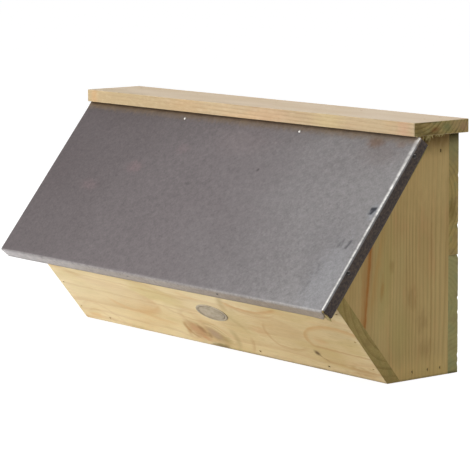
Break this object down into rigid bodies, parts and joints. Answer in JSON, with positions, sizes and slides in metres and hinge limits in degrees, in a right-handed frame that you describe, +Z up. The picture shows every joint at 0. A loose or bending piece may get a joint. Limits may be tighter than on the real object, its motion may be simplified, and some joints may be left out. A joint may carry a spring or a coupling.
{
  "type": "swift nest box",
  "caption": "Long softwood nest box for swifts with a sloping metal-clad roof, a slanted lower front, a slot entrance in the floor and keyholes for hanging on a wall.",
  "frame": {"origin": "on the wall plane, which is the rear face of the back planks, at the middle of the box's length and level with its underside", "axes": "+X along the box to the right as seen from the front, +Y into the wall, +Z up"},
  "size_m": [0.4862, 0.1735, 0.227],
  "materials": {
    "pine": "planed, pressure-treated pine with a faint green tint on the end grain",
    "roof_metal": "dull mottled grey zinc-coated sheet with bright folds",
    "tag_metal": "satin, blank",
    "nail_steel": "bright galvanised heads on the sheet, dull in the wood"
  },
  "bodies": {
    "root": {"lower_back_plank": "pine", "upper_back_plank": "pine", "left_cheek": "pine", "right_cheek": "pine", "floor_board": "pine", "lower_front_panel": "pine", "top_rail": "pine", "top_board": "pine", "roof_board": "pine", "roof_sheet": "roof_metal", "oval_tag": "tag_metal", "tag_pins": "nail_steel", "left_floor_nails": "nail_steel", "right_floor_nails": "nail_steel", "left_rail_nail": "nail_steel", "right_rail_nail": "nail_steel", "panel_floor_nails": "nail_steel", "panel_cheek_nails": "nail_steel", "roof_board_nails": "nail_steel", "top_board_nails": "nail_steel", "lower_plank_nails": "nail_steel", "upper_plank_nails": "nail_steel", "sheet_top_tacks": "nail_steel", "sheet_front_tacks": "nail_steel", "sheet_left_tacks": "nail_steel", "sheet_right_tacks": "nail_steel"}
  },
  "joints": []
}
